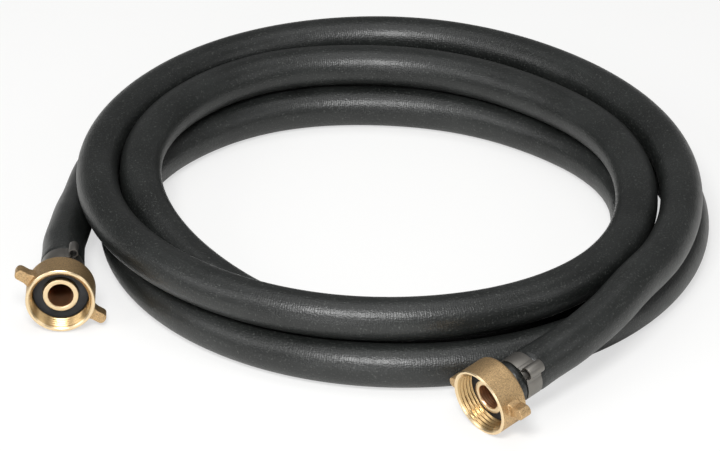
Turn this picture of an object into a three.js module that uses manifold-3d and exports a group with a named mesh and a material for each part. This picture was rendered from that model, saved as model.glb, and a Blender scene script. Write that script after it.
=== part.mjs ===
// Rubber filling hose in a loose coil, with a winged union nut on each end. Millimetres, +Z up.
// The hose runs from its left end, clockwise seen from above, to its right end.
import * as THREE from "three";
import { mergeVertices } from "three/addons/utils/BufferGeometryUtils.js";
import Module from "manifold-3d";

const wasm = await Module();
wasm.setup();

// Clearances
const SEAT_GAP = 0.3;
const RUNNING_GAP = 0.4;

// Hose
const HOSE_OUTER = 19;
const HOSE_BORE = 13;
const HOSE_SIDES = 14;
const BORE_SIDES = 8;
const HOSE_STEPS = 150;
const HOSE_STANDOFF = 0.8;
const HOSE_END_LENGTH = 34;
const END_OVERLAP = 2;
const STRAIGHT_RUN = 52;
const LIP_SWELL = 0.4;
const CLAMP_SQUEEZE = 0.65;
const SQUEEZE_SLOPE = 1.3;
const LIP_LENGTH = 1.8;
const SWELL_LENGTH = 6;
const BORE_TAPER = 2;

// Union nut
const THREAD_BORE = 25.3;
const NUT_WALL = 2.6;
const THREAD_DEPTH = 7.4;
const MOUTH_CHAMFER = 1.3;
const RIM_CHAMFER = 0.4;
const NUT_BACK = 1.8;
const NUT_BACK_CHAMFER = 0.9;
const WING_SPAN = 45.4;
const WING_THICKNESS = 5;
const WING_LENGTH = 5.5;
const WING_SETBACK = 3.9;
const WING_TIP_RADIUS = 2.1;
const WING_FLARE = 1.6;
const WING_BEVEL = 0.4;

// Seal washer
const WASHER_THICKNESS = 2;

// Hose tail
const SPIGOT_OUTER = 15.7;
const SPIGOT_PROUD = 2.1;
const SPIGOT_CHAMFER = 0.4;
const TAIL_BORE = 11;
const COLLAR_THICKNESS = 1.7;
const NECK_OUTER = 14.6;
const BARB_OUTER = 13.4;
const BARB_ROOT = 12.6;
const BARB_COUNT = 4;
const BARB_PITCH = 5.5;
const BARB_LAND = 0.8;
const BARB_STEP = 0.2;
const BARB_END = 1;

// Ear clamp
const BAND_WIDTH = 8.1;
const BAND_THICKNESS = 0.6;

// Facets round the turned pieces
const NUT_FACETS = 32;
const TAIL_FACETS = 20;
const END_FACETS = 24;

// Places along each end's axis, counted back from the rim of its nut
const WASHER_FACE = THREAD_DEPTH;
const COLLAR_FACE = WASHER_FACE + WASHER_THICKNESS + SEAT_GAP;
const SHOULDER_FACE = COLLAR_FACE + COLLAR_THICKNESS + SEAT_GAP;
const NUT_LENGTH = SHOULDER_FACE + NUT_BACK;
const HOSE_FACE = NUT_LENGTH + HOSE_STANDOFF;
const HOSE_END_BACK = HOSE_FACE + HOSE_END_LENGTH;
const TAIL_END = HOSE_FACE + BARB_COUNT * BARB_PITCH + BARB_END;

// Radii that follow from the sizes above
const HOSE_RADIUS = HOSE_OUTER / 2;
const NUT_RADIUS = THREAD_BORE / 2 + NUT_WALL;
const COLLAR_RADIUS = THREAD_BORE / 2 - RUNNING_GAP;
const WASHER_RADIUS = THREAD_BORE / 2 - SEAT_GAP;
const END_BORE_RADIUS = BARB_OUTER / 2 + SEAT_GAP;
const WAIST_RADIUS = HOSE_RADIUS - CLAMP_SQUEEZE;
const BAND_INNER_RADIUS = WAIST_RADIUS + SEAT_GAP;
const BAND_OUTER_RADIUS = BAND_INNER_RADIUS + BAND_THICKNESS;

// The coil: how far the hose's centre line runs outside the mean radius, and how far above its lowest
// place, at each eighth of a turn from the left side. The first two turns lie on the floor and the last
// one and a half on top of them.
const COIL_RADIUS = 120;
const EIGHTH = 45;
const STEPS_PER_EIGHTH = 4;
const COIL_STATIONS = [
  [20.5, 0.2], [12.5, 0], [-2, 0], [-3, 0],
  [15.5, 0], [22, 0], [19.5, 0], [12, 0],
  [0.5, 0], [-17.5, 0], [-32, 0], [-29, 0],
  [-10.5, 0], [-2.5, 0], [-1.5, 0], [-9, 7.5],
  [-7, 18.7], [-14, 19.6], [-25.5, 18.5], [-27.5, 19.5],
  [-11, 19.9], [7, 17.5], [10, 17.7], [13.5, 19.9],
  [12.5, 18.9], [7.5, 19.5], [3, 19.3], [0.5, 19.5],
  [10.5, 19.7], [28.5, 19.1],
];

// The two free ends: the centre of the nut's rim, the way the mouth faces, how the wings and the ear are
// turned, how far the clamp sits from the hose's face, and the ear's outside width, its width at the foot
// and how far it rises above the band. The left ear is squeezed tighter than the right one.
const LEFT_END = {
  side: "left",
  rim: [-COIL_RADIUS - 23.9, -98.2, HOSE_RADIUS + 6.6],
  azimuth: -2,
  rise: 3,
  wingTurn: -32.6,
  clampSetback: 8.7,
  earTurn: 64,
  earWidth: 4.2,
  earFoot: 1.9,
  earRise: 4.7,
};
const RIGHT_END = {
  side: "right",
  rim: [36.7, -COIL_RADIUS - 57.4, HOSE_RADIUS + 5.8],
  azimuth: 48.8,
  rise: -8,
  wingTurn: 6,
  clampSetback: 5.6,
  earTurn: 43,
  earWidth: 5.7,
  earFoot: 4.6,
  earRise: 5.7,
};
const LEFT_BEND = [
  [-COIL_RADIUS - 24.3, -29, HOSE_RADIUS + 2.3],
  [-COIL_RADIUS - 22.9, -13.5, HOSE_RADIUS + 0.8],
];
const RIGHT_BEND = [[92.5, -COIL_RADIUS - 3.5, HOSE_RADIUS + 16]];

const MATERIALS = {
  rubber: new THREE.MeshStandardMaterial({ color: "#2c2e2d", roughness: 0.55, metalness: 0 }),
  seal: new THREE.MeshStandardMaterial({ color: "#1e1f21", roughness: 0.8, metalness: 0 }),
  castBrass: new THREE.MeshStandardMaterial({ color: "#b08c5c", roughness: 0.5, metalness: 1 }),
  turnedBrass: new THREE.MeshStandardMaterial({ color: "#d8b47c", roughness: 0.25, metalness: 1 }),
  steel: new THREE.MeshStandardMaterial({ color: "#96918a", roughness: 0.35, metalness: 1 }),
};

// Turns a three.js geometry into a solid that can be joined and cut.
function solid(geometry) {
  const bare = geometry.clone();
  bare.deleteAttribute("normal");
  bare.deleteAttribute("uv");
  const merged = mergeVertices(bare, 1e-4);
  const mesh = new wasm.Mesh({
    numProp: 3,
    vertProperties: new Float32Array(merged.attributes.position.array),
    triVerts: new Uint32Array(merged.index.array),
  });
  return new wasm.Manifold(mesh);
}

// Turns a solid back into a three.js geometry.
function geometryOf(manifold) {
  const mesh = manifold.getMesh();
  const geometry = new THREE.BufferGeometry();
  geometry.setAttribute("position", new THREE.BufferAttribute(new Float32Array(mesh.vertProperties), 3));
  geometry.setIndex(new THREE.BufferAttribute(new Uint32Array(mesh.triVerts), 1));
  geometry.computeVertexNormals();
  return geometry;
}

// Turns a closed profile round the +Z axis. Each profile point is a radius and a distance behind the rim,
// and the points run outwards along the front and inwards along the back.
function turned(profile, facets) {
  const points = [...profile, profile[0]].map(([radius, depth]) => new THREE.Vector2(radius, -depth));
  return new THREE.LatheGeometry(points.reverse(), facets).rotateX(Math.PI / 2);
}

// The nut's body: chamfered mouth, thread bore and the back wall that pulls on the tail's collar.
function nutBody() {
  const bore = THREAD_BORE / 2;
  const backHole = NECK_OUTER / 2 + RUNNING_GAP;
  return turned([
    [bore + MOUTH_CHAMFER, 0],
    [NUT_RADIUS - RIM_CHAMFER, 0],
    [NUT_RADIUS, RIM_CHAMFER],
    [NUT_RADIUS, NUT_LENGTH - NUT_BACK_CHAMFER],
    [NUT_RADIUS - NUT_BACK_CHAMFER, NUT_LENGTH],
    [backHole, NUT_LENGTH],
    [backHole, SHOULDER_FACE],
    [bore, SHOULDER_FACE],
    [bore, MOUTH_CHAMFER],
  ], NUT_FACETS);
}

// One cast wing with a rounded tip and a flared root, pointing along +X.
function wing() {
  const half = WING_THICKNESS / 2 - WING_BEVEL;
  const tip = WING_SPAN / 2 - WING_BEVEL;
  const root = NUT_RADIUS - NUT_WALL / 2;
  const corner = WING_TIP_RADIUS - WING_BEVEL;
  const flareEnd = NUT_RADIUS + WING_FLARE;
  const outline = new THREE.Shape();
  outline.moveTo(root, -half - WING_FLARE);
  outline.quadraticCurveTo(NUT_RADIUS, -half, flareEnd, -half);
  outline.lineTo(tip - corner, -half);
  outline.absarc(tip - corner, -half + corner, corner, -Math.PI / 2, 0, false);
  outline.absarc(tip - corner, half - corner, corner, 0, Math.PI / 2, false);
  outline.lineTo(flareEnd, half);
  outline.quadraticCurveTo(NUT_RADIUS, half, root, half + WING_FLARE);
  outline.closePath();
  const geometry = new THREE.ExtrudeGeometry(outline, {
    depth: WING_LENGTH - 2 * WING_BEVEL,
    bevelEnabled: true,
    bevelThickness: WING_BEVEL,
    bevelSize: WING_BEVEL,
    bevelSegments: 1,
    curveSegments: 4,
  });
  return geometry.translate(0, 0, -WING_SETBACK - WING_LENGTH + WING_BEVEL);
}

function wingNut(end) {
  const turn = THREE.MathUtils.degToRad(end.wingTurn);
  let nut = solid(nutBody());
  for (const angle of [turn, turn + Math.PI]) {
    nut = nut.add(solid(wing().rotateZ(angle)));
  }
  return geometryOf(nut);
}

// Flat ring that seals against the pipe's end face.
function sealWasher() {
  const inner = SPIGOT_OUTER / 2 + SEAT_GAP;
  return turned([
    [inner, WASHER_FACE],
    [WASHER_RADIUS, WASHER_FACE],
    [WASHER_RADIUS, WASHER_FACE + WASHER_THICKNESS],
    [inner, WASHER_FACE + WASHER_THICKNESS],
  ], NUT_FACETS);
}

// Spigot, collar, neck and barbs in one turned piece with a bore right through.
function hoseTail() {
  const bore = TAIL_BORE / 2;
  const spigot = SPIGOT_OUTER / 2;
  const spigotFace = WASHER_FACE - SPIGOT_PROUD;
  const collarBack = COLLAR_FACE + COLLAR_THICKNESS;
  const profile = [
    [bore + SPIGOT_CHAMFER, spigotFace],
    [spigot - SPIGOT_CHAMFER, spigotFace],
    [spigot, spigotFace + SPIGOT_CHAMFER],
    [spigot, COLLAR_FACE],
    [COLLAR_RADIUS, COLLAR_FACE],
    [COLLAR_RADIUS, collarBack],
    [NECK_OUTER / 2, collarBack],
    [NECK_OUTER / 2, HOSE_FACE - SEAT_GAP],
    [BARB_ROOT / 2, HOSE_FACE - SEAT_GAP],
  ];
  for (let i = 0; i < BARB_COUNT; i += 1) {
    const start = HOSE_FACE + i * BARB_PITCH;
    profile.push([BARB_ROOT / 2, start + BARB_LAND]);
    profile.push([BARB_OUTER / 2, start + BARB_LAND + BARB_STEP]);
    profile.push([BARB_ROOT / 2, start + BARB_PITCH - BARB_LAND / 2]);
  }
  profile.push([BARB_ROOT / 2, TAIL_END], [bore, TAIL_END], [bore, spigotFace + SPIGOT_CHAMFER]);
  return turned(profile, TAIL_FACETS);
}

// The outline of an ear as seen along the axis, pointing along +X: two legs that run into a round loop.
function earOutline(path, loopCentre, loopRadius, legHalf, foot) {
  const lean = Math.PI - Math.asin(legHalf / loopRadius);
  const knee = loopCentre + loopRadius * Math.cos(lean);
  path.moveTo(foot, -legHalf);
  path.lineTo(knee, -legHalf);
  path.absarc(loopCentre, 0, loopRadius, -lean, lean, false);
  path.lineTo(foot, legHalf);
  path.closePath();
  return path;
}

// Steel band with its hollow ear, squeezed shut on the hose.
function earClamp(end) {
  const front = HOSE_FACE + end.clampSetback;
  const back = front + BAND_WIDTH;
  const band = turned([
    [BAND_INNER_RADIUS, front],
    [BAND_OUTER_RADIUS, front],
    [BAND_OUTER_RADIUS, back],
    [BAND_INNER_RADIUS, back],
  ], END_FACETS);
  const loopRadius = end.earWidth / 2;
  const loopCentre = BAND_OUTER_RADIUS + end.earRise - loopRadius;
  const legHalf = end.earFoot / 2;
  const footInBand = BAND_INNER_RADIUS + BAND_THICKNESS / 3;
  const outline = earOutline(new THREE.Shape(), loopCentre, loopRadius, legHalf, footInBand);
  outline.holes.push(earOutline(
    new THREE.Path(),
    loopCentre,
    loopRadius - BAND_THICKNESS,
    legHalf - BAND_THICKNESS,
    BAND_OUTER_RADIUS,
  ));
  const ear = new THREE.ExtrudeGeometry(outline, {
    depth: BAND_WIDTH,
    bevelEnabled: false,
    curveSegments: 8,
  });
  ear.translate(0, 0, -back);
  ear.rotateZ(THREE.MathUtils.degToRad(end.earTurn));
  return geometryOf(solid(band).add(solid(ear)));
}

// The straight last stretch of the hose: stretched over the barbs and pinched in by the clamp.
function hoseEnd(end) {
  const lip = HOSE_RADIUS + LIP_SWELL;
  const stretched = TAIL_END + 1;
  const skin = HOSE_RADIUS + SEAT_GAP / 3;
  const bandFront = HOSE_FACE + end.clampSetback;
  const bandBack = bandFront + BAND_WIDTH;
  return turned([
    [END_BORE_RADIUS, HOSE_FACE],
    [HOSE_RADIUS - LIP_SWELL, HOSE_FACE],
    [lip, HOSE_FACE + LIP_LENGTH],
    [lip, bandFront - SQUEEZE_SLOPE],
    [WAIST_RADIUS, bandFront - 0.05],
    [WAIST_RADIUS, bandBack + 0.05],
    [lip, bandBack + SQUEEZE_SLOPE],
    [skin, bandBack + SWELL_LENGTH],
    [skin, HOSE_END_BACK],
    [HOSE_BORE / 2, HOSE_END_BACK],
    [HOSE_BORE / 2, stretched + BORE_TAPER],
    [END_BORE_RADIUS, stretched],
  ], END_FACETS);
}

function outwardOf(end) {
  const azimuth = THREE.MathUtils.degToRad(end.azimuth);
  const rise = THREE.MathUtils.degToRad(end.rise);
  const level = Math.cos(rise);
  return new THREE.Vector3(-Math.sin(azimuth) * level, -Math.cos(azimuth) * level, Math.sin(rise));
}

// Sets a piece that was built round +Z on the axis of its end.
function placement(end) {
  const outward = outwardOf(end);
  const across = new THREE.Vector3(0, 0, 1).cross(outward).normalize();
  const upward = outward.clone().cross(across);
  return new THREE.Matrix4()
    .makeBasis(across, upward, outward)
    .setPosition(...end.rim);
}

function pointBehindRim(end, depth) {
  return new THREE.Vector3(...end.rim).addScaledVector(outwardOf(end), -depth);
}

function coilPoints() {
  const stations = COIL_STATIONS.map(
    ([outside, above], i) => new THREE.Vector3(i * EIGHTH, COIL_RADIUS + outside, HOSE_RADIUS + above),
  );
  const profile = new THREE.CatmullRomCurve3(stations, false, "catmullrom");
  const count = (stations.length - 1) * STEPS_PER_EIGHTH;
  const points = [];
  for (let i = 0; i <= count; i += 1) {
    const { x: degrees, y: radius, z } = profile.getPoint(i / count);
    const height = Math.max(z, HOSE_RADIUS);
    const angle = THREE.MathUtils.degToRad(degrees);
    points.push(new THREE.Vector3(-Math.cos(angle) * radius, Math.sin(angle) * radius, height));
  }
  return points;
}

// The hose's centre line between its two straight ends.
function hoseRoute() {
  const start = HOSE_END_BACK - END_OVERLAP;
  const depths = [start, (start + STRAIGHT_RUN) / 2, STRAIGHT_RUN];
  const left = depths.map((depth) => pointBehindRim(LEFT_END, depth));
  const right = depths.map((depth) => pointBehindRim(RIGHT_END, depth)).reverse();
  const toPoint = (place) => new THREE.Vector3(...place);
  const route = [...left, ...LEFT_BEND.map(toPoint), ...coilPoints(), ...RIGHT_BEND.map(toPoint), ...right];
  const curve = new THREE.CatmullRomCurve3(route);
  curve.arcLengthDivisions = 4000;
  return curve;
}

function hose() {
  const section = new THREE.Shape();
  section.setFromPoints(ring(HOSE_RADIUS, HOSE_SIDES));
  const bore = new THREE.Path();
  bore.setFromPoints(ring(HOSE_BORE / 2 - SEAT_GAP / 3, BORE_SIDES).reverse());
  section.holes.push(bore);
  const run = new THREE.ExtrudeGeometry(section, { steps: HOSE_STEPS, extrudePath: hoseRoute() });
  let body = solid(run);
  for (const end of [LEFT_END, RIGHT_END]) {
    body = body.add(solid(hoseEnd(end).applyMatrix4(placement(end))));
  }
  return geometryOf(body);
}

function ring(radius, sides) {
  const points = [];
  for (let i = 0; i < sides; i += 1) {
    const angle = (2 * Math.PI * i) / sides;
    points.push(new THREE.Vector2(radius * Math.cos(angle), radius * Math.sin(angle)));
  }
  return points;
}

function piece(name, geometry, material) {
  const mesh = new THREE.Mesh(geometry, material);
  mesh.name = name;
  return mesh;
}

// Stands the model on the floor with the origin at the middle of its footprint.
function standAtOrigin(group) {
  const box = new THREE.Box3();
  for (const mesh of group.children) {
    mesh.geometry.computeBoundingBox();
    box.union(mesh.geometry.boundingBox);
  }
  const middle = box.getCenter(new THREE.Vector3());
  for (const mesh of group.children) {
    mesh.geometry.translate(-middle.x, -middle.y, -box.min.z);
  }
  return group;
}

const model = new THREE.Group();
model.name = "rubber_hose";
model.add(piece("hose", hose(), MATERIALS.rubber));
for (const end of [LEFT_END, RIGHT_END]) {
  const place = placement(end);
  const name = (part) => `${end.side}_${part}`;
  model.add(piece(name("wing_nut"), wingNut(end).applyMatrix4(place), MATERIALS.castBrass));
  model.add(piece(name("hose_tail"), hoseTail().applyMatrix4(place), MATERIALS.turnedBrass));
  model.add(piece(name("seal_washer"), sealWasher().applyMatrix4(place), MATERIALS.seal));
  model.add(piece(name("ear_clamp"), earClamp(end).applyMatrix4(place), MATERIALS.steel));
}

export default standAtOrigin(model);
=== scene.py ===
"""Dressed scene of a rubber filling hose in a loose coil, with a winged union nut on each end."""

import logging
import math
from dataclasses import dataclass, field
from enum import Enum
from typing import Callable, Iterable, Sequence

import bpy
from mathutils import Matrix, Vector


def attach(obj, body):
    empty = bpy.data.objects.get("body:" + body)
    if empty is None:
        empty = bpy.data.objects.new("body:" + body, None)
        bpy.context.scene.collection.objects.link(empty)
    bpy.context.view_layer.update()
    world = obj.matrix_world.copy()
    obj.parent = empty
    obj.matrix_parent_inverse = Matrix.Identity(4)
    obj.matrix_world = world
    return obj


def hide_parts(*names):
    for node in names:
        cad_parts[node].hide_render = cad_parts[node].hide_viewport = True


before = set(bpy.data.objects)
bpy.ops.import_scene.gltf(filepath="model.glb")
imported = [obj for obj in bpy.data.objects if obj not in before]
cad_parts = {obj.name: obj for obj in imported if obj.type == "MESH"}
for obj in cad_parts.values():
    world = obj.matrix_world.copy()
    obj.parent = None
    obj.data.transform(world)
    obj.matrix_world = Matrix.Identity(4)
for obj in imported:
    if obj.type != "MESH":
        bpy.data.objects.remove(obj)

LOG = logging.getLogger("hose")
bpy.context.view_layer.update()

MM = 0.001
# How close together two points of a turned piece are one point
MERGE_MM = 0.002
# How far off a surface a point may lie and still count as on it
TOUCH_MM = 0.05
NOISE = "ShaderNodeTexNoise"
ARITHMETIC = "ShaderNodeMath"
RANGE = "ShaderNodeMapRange"
# Halves a wave and lifts it, so that it runs from 0 to 1
HALF_UP = {1: 0.5, 2: 0.5}

Piece = bpy.types.Object
Tree = bpy.types.NodeTree
Socket = bpy.types.NodeSocket
Inputs = dict[object, object]
Point = tuple[float, float, float]
Span = tuple[float, float]
Profile = list[Span]
Table = tuple[Span, ...]


# Small tools for selecting, shaping and placing


def deselect_all() -> None:
    """Leaves nothing selected, so that an operator acts only on what comes next."""
    if bpy.context.object is not None and bpy.context.object.mode != "OBJECT":
        bpy.ops.object.mode_set(mode="OBJECT")
    bpy.ops.object.select_all(action="DESELECT")


def pick(obj: Piece) -> None:
    """Selects one object alone and makes it the active one."""
    deselect_all()
    obj.select_set(True)
    bpy.context.view_layer.objects.active = obj


def edit_all(obj: Piece) -> None:
    """Opens an object in edit mode with everything selected."""
    pick(obj)
    bpy.ops.object.mode_set(mode="EDIT")
    bpy.ops.mesh.select_all(action="SELECT")


def close_edit() -> None:
    """Goes back to object mode."""
    bpy.ops.object.mode_set(mode="OBJECT")


def select_vertices(obj: Piece, test: Callable[[Vector], bool]) -> None:
    """Selects the vertices whose place passes a test, from edit mode.

    Args:
        obj: The object that is open in edit mode.
        test: Says whether a vertex at this place is wanted.
    """
    bpy.ops.mesh.select_mode(type="VERT")
    bpy.ops.mesh.select_all(action="DESELECT")
    close_edit()
    for vertex in obj.data.vertices:
        vertex.select = test(vertex.co)
    bpy.ops.object.mode_set(mode="EDIT")


def select_edges(obj: Piece, test: Callable[[Vector, Vector], bool]) -> None:
    """Selects the edges whose two ends pass a test, from edit mode.

    Args:
        obj: The object that is open in edit mode.
        test: Says whether an edge between these two places is wanted.
    """
    bpy.ops.mesh.select_mode(type="EDGE")
    bpy.ops.mesh.select_all(action="DESELECT")
    close_edit()
    places = [vertex.co for vertex in obj.data.vertices]
    for edge in obj.data.edges:
        edge.select = test(*(places[i] for i in edge.vertices))
    bpy.ops.object.mode_set(mode="EDIT")


def modify(obj: Piece, kind: str, **settings: object) -> None:
    """Adds a modifier to an object and applies it.

    Args:
        obj: The object to change.
        kind: Blender's name of the modifier.
        settings: The modifier's settings.
    """
    pick(obj)
    bpy.ops.object.modifier_add(type=kind)
    modifier = obj.modifiers[-1]
    for name, value in settings.items():
        setattr(modifier, name, value)
    bpy.ops.object.modifier_apply(modifier=modifier.name)


def smooth_by_angle(obj: Piece, degrees: float) -> None:
    """Shades a piece smooth, apart from edges sharper than an angle."""
    pick(obj)
    bpy.ops.object.shade_smooth_by_angle(angle=math.radians(degrees))


def join_into(obj: Piece, other: Piece) -> None:
    """Makes another piece's mesh part of this one.

    Args:
        obj: The piece that grows.
        other: The piece that is gone afterwards.
    """
    pick(obj)
    other.select_set(True)
    bpy.ops.object.join()


def dress(obj: Piece, *materials: bpy.types.Material) -> None:
    """Gives a piece these materials and no others.

    Args:
        obj: The piece.
        materials: What it is made of, in the order of its material slots.
    """
    obj.data.materials.clear()
    for material in materials:
        obj.data.materials.append(material)


def trace_line(name: str, points: Sequence[Point]) -> Piece:
    """Draws an open line by extruding one vertex from point to point.

    Args:
        name: The new object's name.
        points: Where the line goes, in millimetres.

    Returns:
        An object that holds the line's edges alone.
    """
    deselect_all()
    bpy.ops.mesh.primitive_plane_add(size=MM)
    obj = bpy.context.object
    obj.name = name
    obj.data.name = name
    edit_all(obj)
    bpy.ops.mesh.merge(type="CENTER")
    bpy.ops.transform.translate(value=tuple(value * MM for value in points[0]))
    for here, there in zip(points, points[1:]):
        step = tuple((b - a) * MM for a, b in zip(here, there))
        bpy.ops.mesh.extrude_region_move(TRANSFORM_OT_translate={"value": step})
    close_edit()
    return obj


def turn_profile(name: str, profile: Profile, steps: int, closed: bool = True) -> Piece:
    """Turns a profile into a solid round the Z axis, as on a lathe.

    Args:
        name: The new object's name.
        profile: Points as a radius and a depth behind the rim, in millimetres.
        steps: Facets round the axis.
        closed: Whether the last point joins the first one.

    Returns:
        A closed solid with its faces outwards.
    """
    points = [*profile, profile[0]] if closed else profile
    obj = trace_line(name, [(radius, 0, -depth) for radius, depth in points])
    edit_all(obj)
    bpy.ops.mesh.spin(steps=steps, angle=2 * math.pi, center=(0, 0, 0), axis=(0, 0, 1))
    bpy.ops.mesh.select_all(action="SELECT")
    bpy.ops.mesh.remove_doubles(threshold=MERGE_MM * MM)
    bpy.ops.mesh.normals_make_consistent(inside=False)
    close_edit()
    return obj


def round_corners(profile: Profile, radius: float, corners: Iterable[int], steps: int = 3) -> Profile:
    """Rounds chosen corners of a profile.

    Args:
        profile: The closed profile.
        radius: How far from its corner each rounding starts, in millimetres.
        corners: The places in the profile of the corners to round.
        steps: Points in each rounding.

    Returns:
        The profile with each chosen corner replaced by a short curve.
    """
    chosen = set(corners)
    out: Profile = []
    for i, corner in enumerate(profile):
        if i not in chosen:
            out.append(corner)
            continue
        here = Vector(corner)
        before = Vector(profile[i - 1]) - here
        after = Vector(profile[(i + 1) % len(profile)]) - here
        start = here + before.normalized() * min(radius, before.length / 2)
        end = here + after.normalized() * min(radius, after.length / 2)
        for k in range(steps + 1):
            t = k / steps
            point = start * (1 - t) ** 2 + here * (2 * t * (1 - t)) + end * t**2
            out.append((point.x, point.y))
    return out


def write_turning_map(obj: Piece) -> None:
    """Gives a turned piece a UV map of its own: turns round the axis, and depth in metres.

    Args:
        obj: A piece that still stands on the Z axis.
    """
    mesh = obj.data
    layer = mesh.uv_layers.active or mesh.uv_layers.new(name="turning")
    layer.name = "turning"
    for polygon in mesh.polygons:
        middle = math.atan2(polygon.center.y, polygon.center.x) / (2 * math.pi)
        for loop in polygon.loop_indices:
            place = mesh.vertices[mesh.loops[loop].vertex_index].co
            turn = math.atan2(place.y, place.x) / (2 * math.pi)
            turn += round(middle - turn)
            layer.data[loop].uv = (turn, math.hypot(place.x, place.y) - place.z)


def copy_of(obj: Piece, name: str) -> Piece:
    """Makes a copy of a piece with a mesh of its own.

    Args:
        obj: The piece to copy.
        name: The copy's name.

    Returns:
        The copy.
    """
    twin = obj.copy()
    twin.data = obj.data.copy()
    twin.name = name
    twin.data.name = name
    bpy.context.collection.objects.link(twin)
    return twin


def settle(obj: Piece, matrix: Matrix) -> None:
    """Moves a piece by a matrix and puts the move into its mesh.

    Args:
        obj: The piece, which stands at the origin.
        matrix: The move to its place.
    """
    pick(obj)
    obj.matrix_world = matrix
    bpy.ops.object.transform_apply(location=True, rotation=True, scale=True)


def report(obj: Piece, what: str) -> None:
    """Logs a finished piece with its number of faces."""
    LOG.info("%s: %s, %d faces", obj.name, what, len(obj.data.polygons))


# Finishes


def linear(code: str) -> tuple[float, float, float, float]:
    """Turns an sRGB hex colour into the linear colour that a shader takes.

    Args:
        code: The colour, such as #84817c.

    Returns:
        Its linear red, green and blue, and full opacity.
    """
    channels = [int(code[i : i + 2], 16) / 255 for i in (1, 3, 5)]
    values = [c / 12.92 if c <= 0.04045 else ((c + 0.055) / 1.055) ** 2.4 for c in channels]
    return (values[0], values[1], values[2], 1.0)


def feed(tree: Tree, node: bpy.types.Node, inputs: Inputs) -> None:
    """Gives a node's inputs their values, or links them to the sockets that feed them.

    Args:
        tree: The node tree that holds the node.
        node: The node.
        inputs: For each input, a value or the socket that feeds it.
    """
    for key, value in inputs.items():
        if isinstance(value, Socket):
            tree.links.new(value, node.inputs[key])
        else:
            node.inputs[key].default_value = value


def add_node(tree: Tree, kind: str, inputs: Inputs | None = None, **settings: object) -> bpy.types.Node:
    """Adds a shader node with its settings, values and links.

    Args:
        tree: The node tree that takes it.
        kind: Blender's name of the node.
        inputs: For each input, a value or the socket that feeds it.
        settings: Properties to set on the node.

    Returns:
        The new node.
    """
    node = tree.nodes.new(kind)
    for name, value in settings.items():
        setattr(node, name, value)
    feed(tree, node, inputs or {})
    return node


def new_material(name: str, shown: str) -> tuple[bpy.types.Material, Tree, bpy.types.Node]:
    """Starts a material.

    Args:
        name: The material's name.
        shown: The plain colour that stands for it in a viewport, as sRGB hex.

    Returns:
        The material, its node tree and its principled shader.
    """
    material = bpy.data.materials.new(name)
    material.use_nodes = True
    material.diffuse_color = linear(shown)
    tree = material.node_tree
    return material, tree, tree.nodes["Principled BSDF"]


@dataclass(frozen=True)
class Blotches:
    """Uneven blotches: their size, how many finer octaves they have, and how far or deep they reach."""

    size_mm: float
    detail: float
    reach_mm: float = 0.0

    def inputs(self, place: Socket) -> Inputs:
        """The inputs of a noise texture with these blotches, from coordinates in metres."""
        return {"Vector": place, "Scale": 1000 / self.size_mm, "Detail": self.detail}


def read_chart(tree: Tree, name: str) -> tuple[Socket, Socket]:
    """Reads the two distances that a piece's own map of this name holds.

    Args:
        tree: The node tree that takes the reading.
        name: The map's name.

    Returns:
        The map's first and second distance.
    """
    chart = add_node(tree, "ShaderNodeUVMap", uv_map=name)
    split = add_node(tree, "ShaderNodeSeparateXYZ", {"Vector": chart.outputs["UV"]})
    return split.outputs["X"], split.outputs["Y"]


def sway(tree: Tree, place: Socket, distance: Socket, blotches: Blotches) -> Socket:
    """Shifts a distance from place to place, so that a pattern along it is never quite straight.

    Args:
        tree: The node tree that takes it.
        place: The coordinates, in metres.
        distance: The distance to shift, in metres.
        blotches: How large the shifted spots are, and the largest shift.

    Returns:
        The shifted distance.
    """
    noise = add_node(tree, NOISE, blotches.inputs(place))
    shift = {0: noise.outputs["Fac"], 1: blotches.reach_mm * MM, 2: distance}
    return add_node(tree, ARITHMETIC, shift, operation="MULTIPLY_ADD").outputs[0]


def waves(tree: Tree, distance: Socket, pitch_mm: float) -> Socket:
    """Makes waves along a distance, from -1 to 1 and a pitch apart.

    Args:
        tree: The node tree that takes them.
        distance: The distance, in metres.
        pitch_mm: How far apart the waves are, in millimetres.

    Returns:
        The waves' height.
    """
    turns = {0: distance, 1: 2 * math.pi * 1000 / pitch_mm}
    phase = add_node(tree, ARITHMETIC, turns, operation="MULTIPLY")
    return add_node(tree, ARITHMETIC, {0: phase.outputs[0]}, operation="SINE").outputs[0]


def blend(tree: Tree, value: Socket, span: Span, low: object, high: object, most: float = 1.0) -> Socket:
    """Goes from one colour to another as a value crosses a span.

    Args:
        tree: The node tree that takes it.
        value: What decides between the two colours.
        span: The values where the change starts and ends.
        low: The colour before the span, or the socket that gives it.
        high: The colour after it.
        most: How far the change goes, where 1 is all the way.

    Returns:
        The blended colour.
    """
    ends = {"Value": value, "From Min": span[0], "From Max": span[1], "To Max": most}
    share = add_node(tree, RANGE, ends).outputs["Result"]
    return add_node(tree, "ShaderNodeMix", {"Factor": share, 6: low, 7: high}, data_type="RGBA").outputs[2]


def stack_reliefs(tree: Tree, layers: Sequence[tuple[Socket, float]]) -> Socket:
    """Lays reliefs over each other.

    Args:
        tree: The node tree that takes them.
        layers: Each relief's height, from 0 to 1, and its depth in millimetres. The first one is lowest.

    Returns:
        The normal of the whole surface.
    """
    below: Inputs = {}
    for height, depth_mm in layers:
        relief = add_node(tree, "ShaderNodeBump", {"Height": height, "Distance": depth_mm * MM, **below})
        below = {"Normal": relief.outputs["Normal"]}
    return below["Normal"]


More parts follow.
